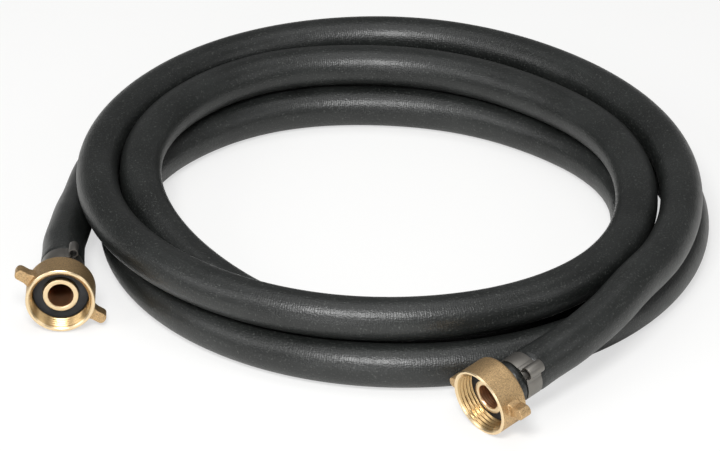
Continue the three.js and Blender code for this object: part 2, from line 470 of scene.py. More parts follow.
@dataclass(frozen=True)
class VulcanisedRubber:
    """Black EPDM cover, vulcanised in a cloth wrap: satin, with a faint weave pressed into it."""

    dark: str = "#131514"
    pale: str = "#212322"
    dust: str = "#686b67"
    roughness: Span = (0.3, 0.48)
    index: float = 1.52
    weave_mm: float = 2.1
    weave_depth_mm: float = 0.08
    sway_along: Blotches = Blotches(4, 4, 2.4)
    sway_around: Blotches = Blotches(3, 3, 3.6)
    pressure: Blotches = Blotches(22, 3)
    skin: Blotches = Blotches(1.3, 2, 0.12)
    dents: Blotches = Blotches(16, 1, 0.25)
    clouds: Blotches = Blotches(30, 5)
    cloud_span: Span = (0.35, 0.7)
    specks: Blotches = Blotches(0.83333, 4)
    speck_span: Span = (0.58, 0.78)
    speck_strength: float = 0.5
    sheen: Blotches = Blotches(9, 4)

    def cloth(self, tree: Tree, place: Socket) -> Socket:
        """Makes the height of the pressed weave, which follows the hose's own map along and round it.

        Args:
            tree: The node tree that takes it.
            place: The coordinates, in metres.

        Returns:
            The height, from 0 to 1.
        """
        chart = read_chart(tree, "along")
        # The cloth's threads wander a little, so its squares are never quite straight.
        swayed = [sway(tree, place, *pair) for pair in zip(chart, (self.sway_along, self.sway_around))]
        threads = []
        for way in ("ADD", "SUBTRACT"):
            slanting = add_node(tree, ARITHMETIC, dict(enumerate(swayed)), operation=way)
            threads.append(waves(tree, slanting.outputs[0], self.weave_mm))
        squares = add_node(tree, ARITHMETIC, dict(enumerate(threads)), operation="MULTIPLY")
        height = add_node(tree, ARITHMETIC, {0: squares.outputs[0], **HALF_UP}, operation="MULTIPLY_ADD")
        # The cloth pressed in harder in some places than in others.
        pressure = add_node(tree, NOISE, self.pressure.inputs(place))
        worn = {0: height.outputs[0], 1: pressure.outputs["Fac"]}
        return add_node(tree, ARITHMETIC, worn, operation="MULTIPLY").outputs[0]

    def build(self) -> bpy.types.Material:
        """Makes the material."""
        material, tree, shader = new_material("vulcanised EPDM rubber", self.dark)
        place = add_node(tree, "ShaderNodeTexCoord").outputs["Object"]
        skin, dents, clouds, specks, sheen = (
            add_node(tree, NOISE, blotches.inputs(place)).outputs["Fac"]
            for blotches in (self.skin, self.dents, self.clouds, self.specks, self.sheen)
        )
        cloth = self.cloth(tree, place)
        reliefs = [(skin, self.skin.reach_mm), (cloth, self.weave_depth_mm), (dents, self.dents.reach_mm)]
        clouded = blend(tree, clouds, self.cloud_span, linear(self.dark), linear(self.pale))
        dusty = blend(tree, specks, self.speck_span, clouded, linear(self.dust), self.speck_strength)
        low, high = self.roughness
        rough = add_node(tree, RANGE, {"Value": sheen, "To Min": low, "To Max": high})
        surface = {"Base Color": dusty, "Roughness": rough.outputs["Result"], "IOR": self.index}
        feed(tree, shader, {**surface, "Normal": stack_reliefs(tree, reliefs)})
        return material


@dataclass(frozen=True)
class SealRubber:
    """Moulded black seal rubber: matt and even, with the slight bloom of new rubber."""

    colour: str = "#1d1e20"
    bloom: str = "#2c2e31"
    roughness: float = 0.6
    index: float = 1.52
    clouds: Blotches = Blotches(5, 4)
    cloud_span: Span = (0.3, 0.75)
    skin: Blotches = Blotches(0.5, 2, 0.012)

    def build(self) -> bpy.types.Material:
        """Makes the material."""
        material, tree, shader = new_material("moulded seal rubber", self.colour)
        place = add_node(tree, "ShaderNodeTexCoord").outputs["Object"]
        clouds = add_node(tree, NOISE, self.clouds.inputs(place)).outputs["Fac"]
        skin = add_node(tree, NOISE, self.skin.inputs(place)).outputs["Fac"]
        colour = blend(tree, clouds, self.cloud_span, linear(self.colour), linear(self.bloom))
        surface = {"Base Color": colour, "Roughness": self.roughness, "IOR": self.index}
        feed(tree, shader, {**surface, "Normal": stack_reliefs(tree, [(skin, self.skin.reach_mm)])})
        return material


@dataclass(frozen=True)
class SandCastBrass:
    """Brass as it comes from a sand mould: a grainy skin that scatters the light, browner in its pits."""

    lit: str = "#d6b687"
    pits: str = "#a08666"
    pit_span: Span = (0.3, 0.62)
    roughness: float = 0.5
    grain: Blotches = Blotches(0.45, 3, 0.09)
    dents: Blotches = Blotches(2.6, 2, 0.12)

    def build(self) -> bpy.types.Material:
        """Makes the material."""
        material, tree, shader = new_material("sand cast brass", self.lit)
        place = add_node(tree, "ShaderNodeTexCoord").outputs["Object"]
        grain = add_node(tree, NOISE, self.grain.inputs(place)).outputs["Fac"]
        dents = add_node(tree, NOISE, self.dents.inputs(place)).outputs["Fac"]
        reliefs = [(dents, self.dents.reach_mm), (grain, self.grain.reach_mm)]
        colour = blend(tree, grain, self.pit_span, linear(self.pits), linear(self.lit))
        surface = {"Base Color": colour, "Roughness": self.roughness, "Metallic": 1.0}
        feed(tree, shader, {**surface, "Normal": stack_reliefs(tree, reliefs)})
        return material


class BrassSurface(Enum):
    """How a cut brass surface was left."""

    THREAD = "threaded"
    FACE = "faced"
    BORE = "drilled"


@dataclass(frozen=True)
class MachinedBrass:
    """Freshly cut brass, pale gold, with the tool's fine rings round its axis; the faced rim's paler gold
    is a painted highlight, and the thread's darker gold inside the nut is painted shade.
    """

    surface: BrassSurface
    colour: str
    roughness: float
    ring_mm: float
    ring_depth_mm: float

    def build(self) -> bpy.types.Material:
        """Makes the material. The rings follow the turned piece's own map, and wander by up to a ring."""
        material, tree, shader = new_material(f"{self.surface.value} brass", self.colour)
        place = add_node(tree, "ShaderNodeTexCoord").outputs["Object"]
        _, depth = read_chart(tree, "turning")
        swayed = sway(tree, place, depth, Blotches(3, 2, self.ring_mm))
        waved = {0: waves(tree, swayed, self.ring_mm), **HALF_UP}
        rings = add_node(tree, ARITHMETIC, waved, operation="MULTIPLY_ADD").outputs[0]
        surface = {"Base Color": linear(self.colour), "Roughness": self.roughness, "Metallic": 1.0}
        feed(tree, shader, {**surface, "Normal": stack_reliefs(tree, [(rings, self.ring_depth_mm)])})
        return material


@dataclass(frozen=True)
class StripSteel:
    """Rolled stainless strip: grey satin with faint lines along the strip."""

    colour: str = "#84817c"
    roughness: Span = (0.39, 0.56)
    sheen: Blotches = Blotches(2.5, 4)
    lines: Blotches = Blotches(0.25, 3, 0.012)

    def build(self) -> bpy.types.Material:
        """Makes the material. The rolling lines run along the band, so they vary with depth alone."""
        material, tree, shader = new_material("rolled strip steel", self.colour)
        place = add_node(tree, "ShaderNodeTexCoord").outputs["Object"]
        _, depth = read_chart(tree, "turning")
        stretched = add_node(tree, "ShaderNodeCombineXYZ", {"Y": depth}).outputs["Vector"]
        lines = add_node(tree, NOISE, self.lines.inputs(stretched)).outputs["Fac"]
        sheen = add_node(tree, NOISE, self.sheen.inputs(place)).outputs["Fac"]
        low, high = self.roughness
        rough = add_node(tree, RANGE, {"Value": sheen, "To Min": low, "To Max": high})
        surface = {"Base Color": linear(self.colour), "Roughness": rough.outputs["Result"], "Metallic": 1.0}
        feed(tree, shader, {**surface, "Normal": stack_reliefs(tree, [(lines, self.lines.reach_mm)])})
        return material


@dataclass
class Finishes:
    """One material of each kind, shared by the pieces that have it."""

    hose: bpy.types.Material = field(init=False)
    seal: bpy.types.Material = field(init=False)
    cast: bpy.types.Material = field(init=False)
    thread: bpy.types.Material = field(init=False)
    face: bpy.types.Material = field(init=False)
    bore: bpy.types.Material = field(init=False)
    strip: bpy.types.Material = field(init=False)

    def __post_init__(self) -> None:
        """Builds the materials."""
        self.hose = VulcanisedRubber().build()
        self.seal = SealRubber().build()
        self.cast = SandCastBrass().build()
        # The faced brass is painted paler than the thread brass: a painted highlight on the lit rim, and
        # painted shade on the thread inside the nut.
        self.thread = MachinedBrass(BrassSurface.THREAD, "#c2a577", 0.31, 0.3, 0.002).build()
        self.face = MachinedBrass(BrassSurface.FACE, "#ead2aa", 0.3, 0.22, 0.006).build()
        self.bore = MachinedBrass(BrassSurface.BORE, "#cfa582", 0.46, 1.2, 0.06).build()
        self.strip = StripSteel().build()


# Where the two ends lie


@dataclass(frozen=True)
class Ear:
    """How the pincers left a clamp's ear: its turn, outside width, foot and rise above the band."""

    turn: float
    width: float
    foot: float
    rise: float


@dataclass(frozen=True)
class EndPose:
    """Where one end of the hose lies, how its nut is turned and where its clamp sits."""

    side: str
    rim: Point
    azimuth: float
    rise: float
    wing_turn: float
    clamp_setback: float
    ear: Ear

    def outward(self) -> Vector:
        """The direction that the nut's mouth faces.

        Returns:
            The direction, as a vector of length 1.
        """
        azimuth, rise = math.radians(self.azimuth), math.radians(self.rise)
        level = math.cos(rise)
        return Vector((-math.sin(azimuth) * level, -math.cos(azimuth) * level, math.sin(rise)))

    def placement(self, turn: float = 0.0) -> Matrix:
        """The move from the Z axis to this end's axis, with a turn in degrees round it first.

        Args:
            turn: How far the piece is turned round the Z axis before it is moved.

        Returns:
            The move.
        """
        outward = self.outward()
        across = Vector((0, 0, 1)).cross(outward).normalized()
        upward = outward.cross(across)
        basis = Matrix((across, upward, outward)).transposed().to_4x4()
        return Matrix.Translation(self.rim) @ basis @ Matrix.Rotation(math.radians(turn), 4, "Z")

    def behind(self, depth_mm: float) -> Vector:
        """The point on the axis that lies this far behind the rim."""
        return Vector(self.rim) - self.outward() * (depth_mm * MM)

    def name(self, part: str) -> str:
        """The name of a piece on this end."""
        return f"{self.side}_{part}"


# The model's origin, measured from the middle of the coil
ORIGIN = Vector((-0.009221, -0.029689, 0.000155))


def from_coil(x: float, y: float, z: float) -> Vector:
    """Moves a point, given in metres from the middle of the coil, into the model's frame."""
    return Vector((x, y, z)) - ORIGIN


LEFT_END = EndPose(
    side="left",
    rim=tuple(from_coil(-0.1439, -0.0982, 0.0161)),
    azimuth=-2.0,
    rise=3.0,
    wing_turn=-32.6,
    clamp_setback=8.7,
    ear=Ear(turn=64.0, width=4.2, foot=1.9, rise=4.7),
)
RIGHT_END = EndPose(
    side="right",
    rim=tuple(from_coil(0.0367, -0.1774, 0.0153)),
    azimuth=48.8,
    rise=-8.0,
    wing_turn=6.0,
    clamp_setback=5.6,
    ear=Ear(turn=43.0, width=5.7, foot=4.6, rise=5.7),
)


# The hose


@dataclass(frozen=True)
class HoseRoute:
    """The hose's centre line: two straight ends, two bends and the coil between them."""

    hose_face_mm: float = 14.3
    straight_mm: float = 52.0
    eighth: float = 45.0
    steps_per_eighth: int = 4
    floor_height: float = 0.00965
    fine_steps: int = 12
    # Where the points of a straight end lie, as shares of its length
    straight_shares: tuple[float, ...] = (0, 0.3, 0.6, 0.85, 1)
    left_bend: tuple[Point, ...] = ((-0.1443, -0.029, 0.0118), (-0.1429, -0.0135, 0.0103))
    right_bend: tuple[Point, ...] = ((0.0925, -0.1235, 0.0255),)
    # Radius and height at each eighth of a turn, clockwise from the left side
    stations: Table = (
        (0.1405, 0.0097), (0.1325, 0.0095), (0.118, 0.0095), (0.117, 0.0095),
        (0.1355, 0.0095), (0.142, 0.0095), (0.1395, 0.0095), (0.132, 0.0095),
        (0.1205, 0.0095), (0.1025, 0.0095), (0.088, 0.0095), (0.091, 0.0095),
        (0.1095, 0.0095), (0.1175, 0.0095), (0.1185, 0.0095), (0.111, 0.017),
        (0.113, 0.0282), (0.106, 0.0291), (0.0945, 0.028), (0.0925, 0.029),
        (0.109, 0.0294), (0.127, 0.027), (0.13, 0.0272), (0.1335, 0.0294),
        (0.1325, 0.0284), (0.1275, 0.029), (0.123, 0.0288), (0.1205, 0.029),
        (0.1305, 0.0292), (0.1485, 0.0286),
    )

    @staticmethod
    def between(points: Sequence[Vector], position: float, knot: float) -> Vector:
        """Finds a point on the smooth curve through a row of points.

        Args:
            points: The points that the curve goes through.
            position: Where on the curve, counted in points.
            knot: 0 for evenly spaced points, 0.5 for points at uneven distances.

        Returns:
            The point.
        """
        i = min(int(position), len(points) - 2)
        t = position - i
        b, c = points[i], points[i + 1]
        a = points[i - 1] if i > 0 else 2 * b - c
        d = points[i + 2] if i + 2 < len(points) else 2 * c - b
        gaps = [(q - p).length ** knot for p, q in ((a, b), (b, c), (c, d))]
        start = ((b - a) / gaps[0] - (c - a) / (gaps[0] + gaps[1]) + (c - b) / gaps[1]) * gaps[1]
        end = ((c - b) / gaps[1] - (d - b) / (gaps[1] + gaps[2]) + (d - c) / gaps[2]) * gaps[1]
        square = 3 * (c - b) - 2 * start - end
        cube = 2 * (b - c) + start + end
        return b + start * t + square * t**2 + cube * t**3

    def coil(self) -> list[Vector]:
        """Works out the coil's points, turn by turn.

        Returns:
            The points, from the left end on.
        """
        rows = [Vector((i, radius, height)) for i, (radius, height) in enumerate(self.stations)]
        points = []
        for k in range((len(rows) - 1) * self.steps_per_eighth + 1):
            step, radius, height = self.between(rows, k / self.steps_per_eighth, 0.0)
            angle = math.radians(step * self.eighth)
            x, y = -math.cos(angle) * radius, math.sin(angle) * radius
            points.append(from_coil(x, y, max(height, self.floor_height)))
        return points

    def straight(self, end: EndPose) -> list[Vector]:
        """The points of one straight end, from the hose's face inwards."""
        reach = self.straight_mm - self.hose_face_mm
        return [end.behind(self.hose_face_mm + reach * share) for share in self.straight_shares]

    def guide(self) -> list[Vector]:
        """All the points that the centre line goes through, from the left end to the right one.

        Returns:
            The points.
        """
        left = self.straight(LEFT_END) + [from_coil(*p) for p in self.left_bend]
        right = [from_coil(*p) for p in self.right_bend] + self.straight(RIGHT_END)[::-1]
        return left + self.coil() + right

    def line(self) -> tuple[list[Vector], list[float]]:
        """Draws the centre line finely.

        Returns:
            Its points, and each one's distance from the left end in metres.
        """
        guide = self.guide()
        count = (len(guide) - 1) * self.fine_steps
        points = [self.between(guide, k / self.fine_steps, 0.5) for k in range(count + 1)]
        distances = [0.0]
        for a, b in zip(points, points[1:]):
            distances.append(distances[-1] + (b - a).length)
        return points, distances


@dataclass(frozen=True)
class Creases:
    """One set of creases round a lip: its strength, number and slant, and how unevenly it is spread."""

    strength: float
    count: int
    slant: float
    sway: float
    sway_count: int
    start: float

    def height(self, angle: float, share: float) -> float:
        """How high they stand at an angle in radians and a share of the lip's length."""
        uneven = self.sway * math.sin(self.sway_count * angle + self.start)
        return self.strength * math.sin(self.count * angle + self.slant * share + uneven)


@dataclass
class Hose:
    """The rubber hose: a hollow tube, stretched on the tails and pinched by the clamps at its two ends."""

    finishes: Finishes
    route: HoseRoute = field(default_factory=HoseRoute)
    outer_mm: float = 19.0
    ring_step_mm: float = 4.0
    end_step_mm: float = 0.4
    end_zone_mm: float = 28.0
    bore_step_mm: float = 14.0
    bore_end_step_mm: float = 6.5
    section_resolution: int = 22
    # Distances and outer radii of the lip behind the hose's face, of the waist that the 8.1 mm wide band
    # pinches, measured from the band's front edge, and of the swelling behind the waist
    lip_shape: Table = ((0.0, 8.9), (0.25, 9.15), (0.8, 9.42), (1.8, 9.68), (3.0, 9.84), (3.9, 9.9))
    waist_shape: Table = ((-1.1, 9.86), (-0.4, 9.3), (0.2, 9.06), (4.05, 9.03), (7.8, 9.06))
    swelling_shape: Table = (
        (0.0, 9.06), (0.5, 9.16), (1.2, 9.52), (2.5, 9.8), (4.2, 9.76), (7.5, 9.6), (11.5, 9.5),
    )
    bore_shape: Table = ((0.0, 7.0), (24.0, 7.0), (26.0, 6.5))
    crease_mm: float = 0.75
    crease_margins_mm: Span = (0.1, 0.3)
    crease_threshold: float = 0.35
    creases: tuple[Creases, ...] = (Creases(1.0, 5, 2.6, 0.9, 2, 1.0), Creases(0.6, 8, -3.4, 1.9, 1, 0.0))
    crease_power: float = 0.8
    lip_power: float = 0.6
    # How far from the middle of an end's face its lip and its rim of skin and bore reach at most
    end_reach_m: float = 0.02
    face_reach_m: float = 0.012
    sharp_angle: float = 50.0

    @staticmethod
    def shape_at(shape: Sequence[Span], distance_mm: float) -> float:
        """Reads a radius off a table of distances and radii, in millimetres.

        Args:
            shape: The table.
            distance_mm: Where to read it.

        Returns:
            The radius, blended between the table's rows.
        """
        for (near, low), (far, high) in zip(shape, shape[1:]):
            if distance_mm <= far:
                t = (distance_mm - near) / (far - near)
                return low + (high - low) * t * t * (3 - 2 * t)
        return shape[-1][1]

    def end_radius(self, end: EndPose, distance_mm: float) -> float:
        """The hose's outer radius at a distance from the face on one end, in millimetres.

        Args:
            end: The end that is nearer.
            distance_mm: How far from that end's face.

        Returns:
            The radius.
        """
        waist = [(end.clamp_setback + behind, radius) for behind, radius in self.waist_shape]
        if distance_mm < waist[0][0]:
            return self.shape_at((*self.lip_shape, waist[0]), distance_mm)
        if distance_mm < waist[-1][0]:
            return self.shape_at(waist, distance_mm)
        return self.shape_at(self.swelling_shape, distance_mm - waist[-1][0])

    def stops(self, length_mm: float, step_mm: float, end_step_mm: float) -> list[float]:
        """Chooses where the rings go: close together at the ends, wider apart between them.

        Args:
            length_mm: The hose's length.
            step_mm: How far apart the rings are between the ends.
            end_step_mm: How far apart they are at the ends.

        Returns:
            Each ring's distance from the left end, in millimetres.
        """
        near = [k * end_step_mm for k in range(int(self.end_zone_mm / end_step_mm))]
        middle = length_mm - 2 * self.end_zone_mm
        count = round(middle / step_mm)
        between = [self.end_zone_mm + middle * k / count for k in range(count + 1)]
        return near + between + [length_mm - d for d in reversed(near)]

    def tube(self, name: str, stops: list[float], radii: list[float]) -> Piece:
        """Sweeps a round section along the centre line.

        Args:
            name: The new object's name.
            stops: Where the rings go, in millimetres from the left end.
            radii: Each ring's radius in millimetres.

        Returns:
            The open tube, with a UV map in metres along and round it.
        """
        points, distances = self.route.line()
        curve = bpy.data.curves.new(name, "CURVE")
        curve.dimensions = "3D"
        curve.twist_mode = "MINIMUM"
        curve.bevel_depth = MM
        curve.bevel_resolution = self.section_resolution
        spline = curve.splines.new("POLY")
        spline.points.add(len(stops) - 1)
        i = 0
        for point, stop, radius in zip(spline.points, stops, radii):
            while i < len(distances) - 2 and distances[i + 1] < stop * MM:
                i += 1
            t = (stop * MM - distances[i]) / (distances[i + 1] - distances[i])
            point.co = (*points[i].lerp(points[i + 1], min(max(t, 0.0), 1.0)), 1.0)
            point.radius = radius
        obj = bpy.data.objects.new(name, curve)
        bpy.context.collection.objects.link(obj)
        pick(obj)
        bpy.ops.object.convert(target="MESH")
        obj = bpy.context.object
        layer = obj.data.uv_layers[0]
        layer.name = "along"
        girth = math.pi * self.outer_mm * MM
        for item in layer.data:
            ring = min(round(item.uv[0] * (len(stops) - 1)), len(stops) - 1)
            item.uv = (stops[ring] * MM, item.uv[1] * girth)
        return obj

    def build(self) -> Piece:
        """Builds the hose with its bore and its two end faces.

        Returns:
            The finished hose.
        """
        _, distances = self.route.line()
        length_mm = distances[-1] / MM

        def outer(stop: float) -> float:
            """The skin's radius at a distance from the left end."""
            end, distance = (LEFT_END, stop) if stop < length_mm / 2 else (RIGHT_END, length_mm - stop)
            return self.end_radius(end, distance)

        def inner(stop: float) -> float:
            """The bore's radius at a distance from the left end."""
            return self.shape_at(self.bore_shape, min(stop, length_mm - stop))

        stops = self.stops(length_mm, self.ring_step_mm, self.end_step_mm)
        skin = self.tube("rubber_hose", stops, [outer(s) for s in stops])
        self.crease_lips(skin)
        stops = self.stops(length_mm, self.bore_step_mm, self.bore_end_step_mm)
        bore = self.tube("bore", stops, [inner(s) for s in stops])
        edit_all(bore)
        bpy.ops.mesh.flip_normals()
        close_edit()
        join_into(skin, bore)
        self.close_ends(skin)
        dress(skin, self.finishes.hose)
        smooth_by_angle(skin, self.sharp_angle)
        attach(skin, "hose_and_tails")
        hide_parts("hose")
        report(skin, "hose")
        return skin

    def crease_lips(self, obj: Piece) -> None:
        """Folds the rubber between each nut and its clamp, which has gathered it in slanting creases.

        Args:
            obj: The hose's skin.
        """
        near, far = self.crease_margins_mm
        for end in (LEFT_END, RIGHT_END):
            axis = end.outward()
            face = end.behind(self.route.hose_face_mm)
            to_end = end.placement(end.ear.turn).inverted()
            for vertex in obj.data.vertices:
                away = vertex.co - face
                depth = -away.dot(axis) / MM
                if away.length > self.end_reach_m or not near < depth < end.clamp_setback - far:
                    continue
                local = to_end @ vertex.co
                angle = math.atan2(local.y, local.x)
                share = depth / end.clamp_setback
                ripple = sum(creases.height(angle, share) for creases in self.creases)
                # The powers blunt each crease's bottom, and bring it to its depth close to the lip's edges.
                fold = -max(ripple - self.crease_threshold, 0.0) ** self.crease_power
                strength = self.crease_mm * math.sin(math.pi * share) ** self.lip_power
                away -= axis * away.dot(axis)
                vertex.co += away.normalized() * (fold * strength * MM)

    def close_ends(self, obj: Piece) -> None:
        """Joins the skin to the bore with a flat ring at each end.

        Args:
            obj: The hose's skin with the bore inside it.
        """
        for end in (LEFT_END, RIGHT_END):
            middle = end.behind(self.route.hose_face_mm)
            axis = end.outward()

            def on_face(place: Vector) -> bool:
                """Whether a vertex lies on this end's face."""
                away = place - middle
                return abs(away.dot(axis)) < TOUCH_MM * MM and away.length < self.face_reach_m

            edit_all(obj)
            select_vertices(obj, on_face)
            bpy.ops.mesh.bridge_edge_loops()
            close_edit()

    def declare(self, obj: Piece) -> None:
        """Logs how long the hose is, from face to face.

        Args:
            obj: The hose.
        """
        points, distances = self.route.line()
        LOG.info("%s: %.3f m from face to face", obj.name, distances[-1])


# The fittings on each end


@dataclass
class WingNut:
    """Sand cast union nut: turned mouth and internal pipe thread, two cast wings, open back wall."""

    finishes: Finishes
    outer_radius: float = 15.25
    length: float = 13.5
    thread_crest: float = 12.5
    thread_root: float = 13.35
    pitch: float = 1.814
    mouth_radius: float = 14.0
    rim_chamfer: float = 0.4
    shoulder_depth: float = 11.7
    back_hole: float = 7.7
    wing_reach: float = 22.7
    wing_thickness: float = 5.0
    wing_length: float = 5.5
    wing_setback: float = 3.9
    tip_radius: float = 2.1
    wing_root: float = 2.0
    flare_length: float = 1.9
    flare: Point = (1, 1.5, 1.06)
    corner_radius: float = 1.0
    # How far the casting stands out in front of the finished nut, and how far the lathe's tool reaches
    front_stock: float = 1.0
    tool_front: float = -4.0
    tool_back: float = 16.0
    tool_radius: float = 26.0
    chamfer_reach: float = 1.2
    thread_start: float = 0.02
    thread_rows: int = 96
    # The share of straight flanks in the thread's section, where the rest is a wave
    flank_share: float = 0.55
    faced_depth: float = 0.45
    sharp_angle: float = 38.0
    voxel: float = 0.33
    smoothing_rounds: int = 7
    facets: int = 144

    def wing(self, angle: float) -> Piece:
        """Shapes one wing from a block: a tip rounded as seen along the axis, and a flared root.

        Args:
            angle: Where it points round the axis, in degrees.

        Returns:
            The wing, reaching into the nut's wall.
        """
        start = self.outer_radius - self.wing_root
        flare_end = self.outer_radius + self.flare_length
        deselect_all()
        bpy.ops.mesh.primitive_cube_add(size=1)
        obj = bpy.context.object
        obj.scale = ((self.wing_reach - start) * MM, self.wing_thickness * MM, self.wing_length * MM)
        middle = (self.wing_reach + start) / 2
        obj.location = (middle * MM, 0, -(self.wing_setback + self.wing_length / 2) * MM)
        bpy.ops.object.transform_apply(location=True, rotation=True, scale=True)
        edit_all(obj)
        bpy.ops.mesh.bisect(plane_co=(flare_end * MM, 0, 0), plane_no=(1, 0, 0))
        select_vertices(obj, lambda p: p.x < (start + 0.1) * MM)
        bpy.ops.transform.resize(value=self.flare)
        tip = (self.wing_reach - 0.1) * MM
        select_edges(obj, lambda p, q: min(p.x, q.x) > tip and abs(p.z - q.z) > MM)
        bpy.ops.mesh.bevel(offset=self.tip_radius * MM, segments=6, affect="EDGES")
        bpy.ops.mesh.select_mode(type="VERT")
        close_edit()
        settle(obj, Matrix.Rotation(math.radians(angle), 4, "Z"))
        return obj

    def casting(self) -> Piece:
        """Makes the raw casting, whose corners have run together as poured metal does.

        Returns:
            The casting, on the Z axis.
        """
        radius, front, back = self.outer_radius, -self.front_stock, self.length
        corners = [(0, front), (radius, front), (radius, back), (0, back)]
        outline = round_corners(corners, self.corner_radius, [2], 4)
        blank = turn_profile("casting", outline, self.facets, closed=False)
        for angle in (0, 180):
            join_into(blank, self.wing(angle))
        blank.data.remesh_voxel_size = self.voxel * MM
        pick(blank)
        bpy.ops.object.voxel_remesh()
        modify(blank, "SMOOTH", factor=0.5, iterations=self.smoothing_rounds)
        return blank

    def thread_radius(self, depth: float, turn: float) -> float:
        """The bore's radius at a depth and a place round it, in millimetres.

        Args:
            depth: Depth behind the rim.
            turn: Place round the axis, in turns.

        Returns:
            The radius of the thread there, opened by the mouth's chamfer.
        """
        phase = (depth / self.pitch + turn) % 1.0
        flank = 1 - abs(2 * phase - 1)
        rounded = 0.5 - 0.5 * math.cos(2 * math.pi * phase)
        groove = self.flank_share * flank + (1 - self.flank_share) * rounded
        radius = self.thread_crest + (self.thread_root - self.thread_crest) * groove
        return max(radius, self.mouth_radius - depth)

    def tool(self) -> Piece:
        """Makes the shape that the lathe takes away: front, chamfers, threaded bore and hole.

        Returns:
            The shape, on the Z axis.
        """
        edge, reach, first = self.outer_radius - self.rim_chamfer, self.chamfer_reach, self.thread_start
        span = self.shoulder_depth - first
        rows = self.thread_rows
        profile = [
            (0, self.tool_front), (self.tool_radius, self.tool_front), (self.tool_radius, reach),
            (edge + reach, reach), (edge, 0), (self.mouth_radius, 0),
            *((self.thread_crest, first + span * k / rows) for k in range(rows + 1)),
            (self.back_hole, self.shoulder_depth), (self.back_hole, self.tool_back), (0, self.tool_back),
        ]
        obj = turn_profile("tool", profile, self.facets, closed=False)
        for vertex in obj.data.vertices:
            radius = math.hypot(vertex.co.x, vertex.co.y) / MM
            if abs(radius - self.thread_crest) > TOUCH_MM:
                continue
            turn = math.atan2(vertex.co.y, vertex.co.x) / (2 * math.pi)
            share = self.thread_radius(-vertex.co.z / MM, turn) / radius
            vertex.co.x *= share
            vertex.co.y *= share
        return obj

    def master(self) -> Piece:
        """Builds one nut on the Z axis.

        Returns:
            The nut that both ends copy.
        """
        nut = self.casting()
        tool = self.tool()
        dress(nut, self.finishes.cast)
        dress(tool, self.finishes.thread)
        cutting = {"operation": "DIFFERENCE", "solver": "EXACT", "material_mode": "TRANSFER"}
        modify(nut, "BOOLEAN", object=tool, **cutting)
        bpy.data.objects.remove(tool)
        # The front ring within faced_depth takes the paler faced brass, a painted highlight on the rim; the
        # rest of the cut keeps the darker thread brass, painted shade inside the nut.
        nut.data.materials.append(self.finishes.face)
        names = [material.name for material in nut.data.materials]
        faced, cut = names.index(self.finishes.face.name), names.index(self.finishes.thread.name)
        for polygon in nut.data.polygons:
            level = polygon.center.z > -self.faced_depth * MM and abs(polygon.normal.z) > 0.5
            if polygon.material_index == cut and level:
                polygon.material_index = faced
        write_turning_map(nut)
        smooth_by_angle(nut, self.sharp_angle)
        return nut

    def fit(self, master: Piece, end: EndPose) -> Piece:
        """Puts a copy of the nut on one end.

        Args:
            master: The nut on the Z axis.
            end: The end that gets it.

        Returns:
            The finished nut.
        """
        nut = copy_of(master, end.name("winged_nut"))
        settle(nut, end.placement(end.wing_turn))
        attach(nut, end.name("nut"))
        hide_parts(end.name("wing_nut"))
        report(nut, "cast nut with cut thread")
        return nut


@dataclass
class HoseTail:
    """Turned brass tail: spigot through the washer, collar, neck and barbs, bored right through."""

    finishes: Finishes
    spigot_radius: float = 7.85
    bore_radius: float = 5.5
    spigot_face: float = 5.3
    collar_radius: float = 12.1
    collar_face: float = 9.7
    collar_back: float = 11.4
    neck_radius: float = 7.3
    hose_face: float = 14.3
    barb_outer: float = 6.7
    barb_root: float = 6.3
    barb_pitch: float = 5.5
    barb_land: float = 0.8
    barb_step: float = 0.2
    barb_count: int = 4
    barb_end: float = 1.0
    neck_step: float = 0.3
    bore_rows: int = 60
    # Points of the spigot's rounded mouth, past its radius or the bore's and behind its face
    mouth_edge: Table = ((-0.45, -0.02), (-0.15, 0.08), (0.0, 0.4))
    bore_edge: Table = ((0.55, 0.02), (0.75, -0.02))
    bore_chamfer: Table = ((0.0, 0.45), (0.2, 0.15))
    sharp_angle: float = 35.0
    facets: int = 96

    def profile(self) -> Profile:
        """The tail's section from its mouth round to its bore.

        Returns:
            Its points, as a radius and a depth behind the rim.
        """
        face, bore = self.spigot_face, self.bore_radius
        neck_end = self.hose_face - self.neck_step
        points = [(bore + out, face + back) for out, back in self.bore_edge]
        points += [(self.spigot_radius + out, face + back) for out, back in self.mouth_edge]
        points += [
            (self.spigot_radius, self.collar_face), (self.collar_radius, self.collar_face),
            (self.collar_radius, self.collar_back), (self.neck_radius, self.collar_back),
            (self.neck_radius, neck_end), (self.barb_root, neck_end),
        ]
        for i in range(self.barb_count):
            start = self.hose_face + i * self.barb_pitch
            crest = start + self.barb_land + self.barb_step
            points += [(self.barb_root, start + self.barb_land), (self.barb_outer, crest)]
            points.append((self.barb_root, start + self.barb_pitch - self.barb_land / 2))
        end = self.hose_face + self.barb_count * self.barb_pitch + self.barb_end
        points += [(self.barb_root, end), (bore, end)]
        (_, depth), (out, back) = self.bore_chamfer
        reach = face + depth - end
        points += [(bore, end + reach * k / self.bore_rows) for k in range(1, self.bore_rows + 1)]
        points.append((bore + out, face + back))
        return points

    def master(self) -> Piece:
        """Builds one tail on the Z axis.

        Returns:
            The tail that both ends copy.
        """
        tail = turn_profile("tail", self.profile(), self.facets)
        dress(tail, self.finishes.face, self.finishes.bore)
        for polygon in tail.data.polygons:
            radius = math.hypot(polygon.center.x, polygon.center.y) / MM
            if radius < self.bore_radius + TOUCH_MM:
                polygon.material_index = 1
        write_turning_map(tail)
        smooth_by_angle(tail, self.sharp_angle)
        return tail

    def fit(self, master: Piece, end: EndPose) -> Piece:
        """Puts a copy of the tail in one end.

        Args:
            master: The tail on the Z axis.
            end: The end that gets it.

        Returns:
            The finished tail.
        """
        tail = copy_of(master, end.name("barbed_tail"))
        settle(tail, end.placement())
        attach(tail, "hose_and_tails")
        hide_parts(end.name("hose_tail"))
        report(tail, "turned tail")
        return tail


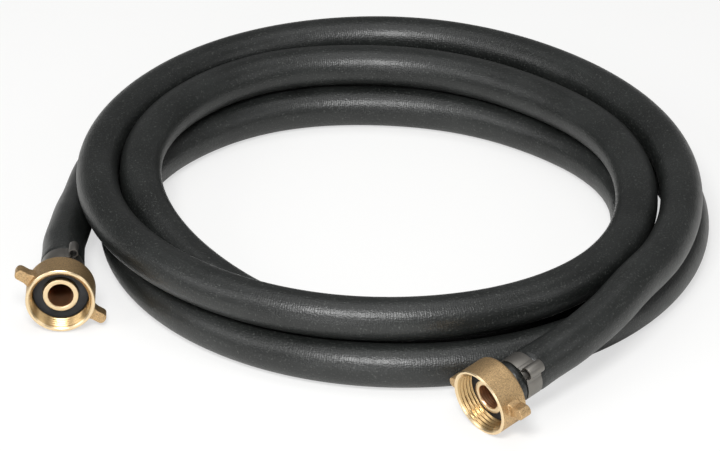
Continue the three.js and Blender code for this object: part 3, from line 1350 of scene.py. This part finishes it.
@dataclass
class SealWasher:
    """Flat rubber ring round the spigot, with the soft edges of a punched part."""

    finishes: Finishes
    inner_radius: float = 8.0
    outer_radius: float = 12.25
    face: float = 7.4
    thickness: float = 2.0
    corner_radius: float = 0.3
    sharp_angle: float = 40.0
    facets: int = 96

    def master(self) -> Piece:
        """Builds one washer on the Z axis.

        Returns:
            The washer that both ends copy.
        """
        back = self.face + self.thickness
        corners = [
            (self.inner_radius, self.face), (self.outer_radius, self.face),
            (self.outer_radius, back), (self.inner_radius, back),
        ]
        outline = round_corners(corners, self.corner_radius, range(4))
        washer = turn_profile("washer", outline, self.facets)
        dress(washer, self.finishes.seal)
        write_turning_map(washer)
        smooth_by_angle(washer, self.sharp_angle)
        return washer

    def fit(self, master: Piece, end: EndPose) -> Piece:
        """Puts a copy of the washer in one nut.

        Args:
            master: The washer on the Z axis.
            end: The end that gets it.

        Returns:
            The finished washer.
        """
        washer = copy_of(master, end.name("flat_washer"))
        settle(washer, end.placement())
        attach(washer, "hose_and_tails")
        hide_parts(end.name("seal_washer"))
        report(washer, "rubber washer")
        return washer


@dataclass
class EarClamp:
    """Steel strip clamp: a smooth closed band, and an ear that pincers squeezed to a loop."""

    finishes: Finishes
    end: EndPose
    inner_radius: float = 9.15
    thickness: float = 0.6
    hose_face: float = 14.3
    width: float = 8.1
    band_corner: float = 0.18
    strip_corner: float = 0.15
    loop_steps: int = 20
    # Points of the foot that merges with the band and of the knee above it: how far out from the leg
    # each lies, and how far off the circle of the foot's strip
    foot: Table = ((1.9, -0.25), (1.0, 0.0))
    knee: Table = ((0.45, 0.06), (0.08, 0.4))
    sharp_angle: float = 32.0
    facets: int = 96

    @property
    def front(self) -> float:
        """How far behind the rim the band starts, in millimetres."""
        return self.hose_face + self.end.clamp_setback

    def band(self) -> Piece:
        """Turns the closed band, with the rounded edges of slit strip.

        Returns:
            The band, on the Z axis.
        """
        outer = self.inner_radius + self.thickness
        back = self.front + self.width
        corners = [
            (self.inner_radius, self.front), (outer, self.front),
            (outer, back), (self.inner_radius, back),
        ]
        outline = round_corners(corners, self.band_corner, range(4), 2)
        return turn_profile("band", outline, self.facets)

    def ear_line(self) -> Profile:
        """The middle line of the ear's strip, seen along the axis: foot, knee, loop, knee, foot.

        Returns:
            Its points, out from the axis and across, in millimetres.
        """
        ear = self.end.ear
        outer = self.inner_radius + self.thickness
        middle = outer + self.thickness / 4
        leg = (ear.foot - self.thickness) / 2
        radius = (ear.width - self.thickness) / 2
        centre = outer + ear.rise - ear.width / 2
        half = [(math.sqrt(middle**2 - (leg + out) ** 2) + lift, leg + out) for out, lift in self.foot]
        half += [(math.sqrt(middle**2 - leg**2) + lift, leg + out) for out, lift in self.knee]
        lean = math.pi - math.asin(leg / radius)
        turns = [lean * (1 - 2 * k / self.loop_steps) for k in range(self.loop_steps + 1)]
        loop = [(centre + radius * math.cos(turn), radius * math.sin(turn)) for turn in turns]
        return half + loop + [(x, -y) for x, y in reversed(half)]

    def strip(self) -> Piece:
        """Draws the ear's line, pulls it along the axis and gives it the strip's thickness.

        Returns:
            The ear, pointing along the X axis.
        """
        obj = trace_line("ear", [(x, y, -self.front) for x, y in self.ear_line()])
        edit_all(obj)
        bpy.ops.mesh.extrude_region_move(TRANSFORM_OT_translate={"value": (0, 0, -self.width * MM)})
        bpy.ops.mesh.select_all(action="SELECT")
        bpy.ops.mesh.normals_make_consistent(inside=False)
        close_edit()
        modify(obj, "SOLIDIFY", thickness=self.thickness * MM, offset=0.0)
        rounding = {"width": self.strip_corner * MM, "segments": 2, "angle_limit": math.radians(50)}
        modify(obj, "BEVEL", limit_method="ANGLE", **rounding)
        return obj

    def build(self) -> Piece:
        """Builds the clamp and sets it on its end.

        Returns:
            The finished clamp.
        """
        clamp = self.band()
        strip = self.strip()
        modify(clamp, "BOOLEAN", operation="UNION", object=strip, solver="EXACT")
        bpy.data.objects.remove(strip)
        dress(clamp, self.finishes.strip)
        write_turning_map(clamp)
        smooth_by_angle(clamp, self.sharp_angle)
        clamp.name = self.end.name("strip_clamp")
        clamp.data.name = clamp.name
        settle(clamp, self.end.placement(self.end.ear.turn))
        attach(clamp, "hose_and_tails")
        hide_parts(self.end.name("ear_clamp"))
        report(clamp, "ear clamp")
        return clamp


# The room around the object


@dataclass(frozen=True)
class Softbox:
    """One rectangular soft lamp: where it hangs, what it points at, its width and height, and its power."""

    place: Point
    aim: Point
    size: Span
    watts: float

    def hang(self) -> None:
        """Makes the lamp and hangs it in its place."""
        data = bpy.data.lights.new("softbox", "AREA")
        data.shape = "RECTANGLE"
        data.size, data.size_y = self.size
        data.energy = self.watts
        lamp = bpy.data.objects.new("softbox", data)
        way = Vector(self.aim) - Vector(self.place)
        aimed = way.to_track_quat("-Z", "Y").to_matrix().to_4x4()
        lamp.matrix_world = Matrix.Translation(self.place) @ aimed
        bpy.context.collection.objects.link(lamp)


@dataclass
class Studio:
    """Pale floor, white surroundings, soft lamps and the photograph's camera."""

    target: Point = (-0.003779, 0.022689, -0.000155)
    elevation: float = 31.0
    distance: float = 1.8
    pixels_per_metre: float = 2180.0
    image_width: float = 720.0
    sensor_mm: float = 36.0
    far_clip: float = 20.0
    floor_size: float = 8.0
    floor_roughness: float = 0.75
    # How much of the floor's white is a glow that only the camera sees, and the light that fills the room
    floor_glow: float = 0.62
    fill: float = 0.22
    # The key above the camera, then weak ones low in front, overhead, and on the left and the right
    softboxes: tuple[Softbox, ...] = (
        Softbox((-0.16, -1.05, 1.2), (0, -0.02, 0), (0.5, 0.32), 21),
        Softbox((-0.5, -1.6, 0.3), (-0.05, -0.1, 0), (0.7, 0.3), 3.5),
        Softbox((0.0, 0.1, 1.5), (0, 0.0, 0), (1.2, 0.9), 5),
        Softbox((-1.3, -0.6, 0.9), (0, 0, 0), (0.7, 0.7), 5),
        Softbox((1.3, -0.7, 0.9), (0, 0, 0), (0.7, 0.7), 2.5),
    )

    def camera(self) -> None:
        """Sets the camera at the photograph's height, distance and field of view."""
        lift = math.radians(self.elevation)
        place = Vector(self.target) + self.distance * Vector((0, -math.cos(lift), math.sin(lift)))
        data = bpy.data.cameras.new("camera")
        data.sensor_fit = "HORIZONTAL"
        data.sensor_width = self.sensor_mm
        data.lens = self.pixels_per_metre * self.distance / self.image_width * self.sensor_mm
        data.clip_end = self.far_clip
        camera = bpy.data.objects.new("camera", data)
        tilt = Matrix.Rotation(math.radians(90) - lift, 4, "X")
        camera.matrix_world = Matrix.Translation(place) @ tilt
        bpy.context.collection.objects.link(camera)
        bpy.context.scene.camera = camera

    def floor(self) -> None:
        """Lays a pale floor that shows nearly white to the eye and keeps a soft shadow."""
        deselect_all()
        bpy.ops.mesh.primitive_plane_add(size=self.floor_size)
        floor = bpy.context.object
        floor.name = "floor"
        material, tree, shader = new_material("white studio floor", "#f4f4f2")
        feed(tree, shader, {"Base Color": linear("#f2f2f0"), "Roughness": self.floor_roughness})
        seen = add_node(tree, "ShaderNodeLightPath").outputs["Is Camera Ray"]
        share = add_node(tree, ARITHMETIC, {0: seen, 1: self.floor_glow}, operation="MULTIPLY")
        glow = add_node(tree, "ShaderNodeEmission", {"Color": (1, 1, 1, 1), "Strength": 1.0})
        parts = {0: share.outputs[0], 1: shader.outputs[0], 2: glow.outputs[0]}
        mix = add_node(tree, "ShaderNodeMixShader", parts)
        feed(tree, tree.nodes["Material Output"], {"Surface": mix.outputs[0]})
        floor.data.materials.append(material)

    def surroundings(self) -> None:
        """Makes everything beyond the floor white to the eye and a plain fill light to the object."""
        world = bpy.data.worlds.new("surroundings")
        bpy.context.scene.world = world
        world.use_nodes = True
        tree = world.node_tree
        rays = add_node(tree, "ShaderNodeLightPath")
        seen = {0: rays.outputs["Is Camera Ray"], 1: rays.outputs["Is Transmission Ray"]}
        white = add_node(tree, ARITHMETIC, seen, operation="MAXIMUM").outputs[0]
        strength = add_node(tree, RANGE, {"Value": white, "To Min": self.fill, "To Max": 1.0})
        light = {"Color": (1, 1, 1, 1), "Strength": strength.outputs["Result"]}
        feed(tree, tree.nodes["Background"], light)

    def build(self) -> None:
        """Sets up the whole room."""
        self.camera()
        self.floor()
        self.surroundings()
        for softbox in self.softboxes:
            softbox.hang()
        bpy.context.scene.view_settings.view_transform = "Standard"


def main() -> None:
    """Builds the room, the hose and its fittings in order."""
    logging.basicConfig(level=logging.INFO, format="%(name)s: %(message)s")
    Studio().build()
    finishes = Finishes()
    hose = Hose(finishes)
    skin = hose.build()
    fittings = []
    for fitting in (WingNut(finishes), HoseTail(finishes), SealWasher(finishes)):
        master = fitting.master()
        fittings += [fitting.fit(master, end) for end in (LEFT_END, RIGHT_END)]
        bpy.data.objects.remove(master)
    fittings += [EarClamp(finishes, end).build() for end in (LEFT_END, RIGHT_END)]
    hose.declare(skin)


if __name__ == "__main__":
    main()
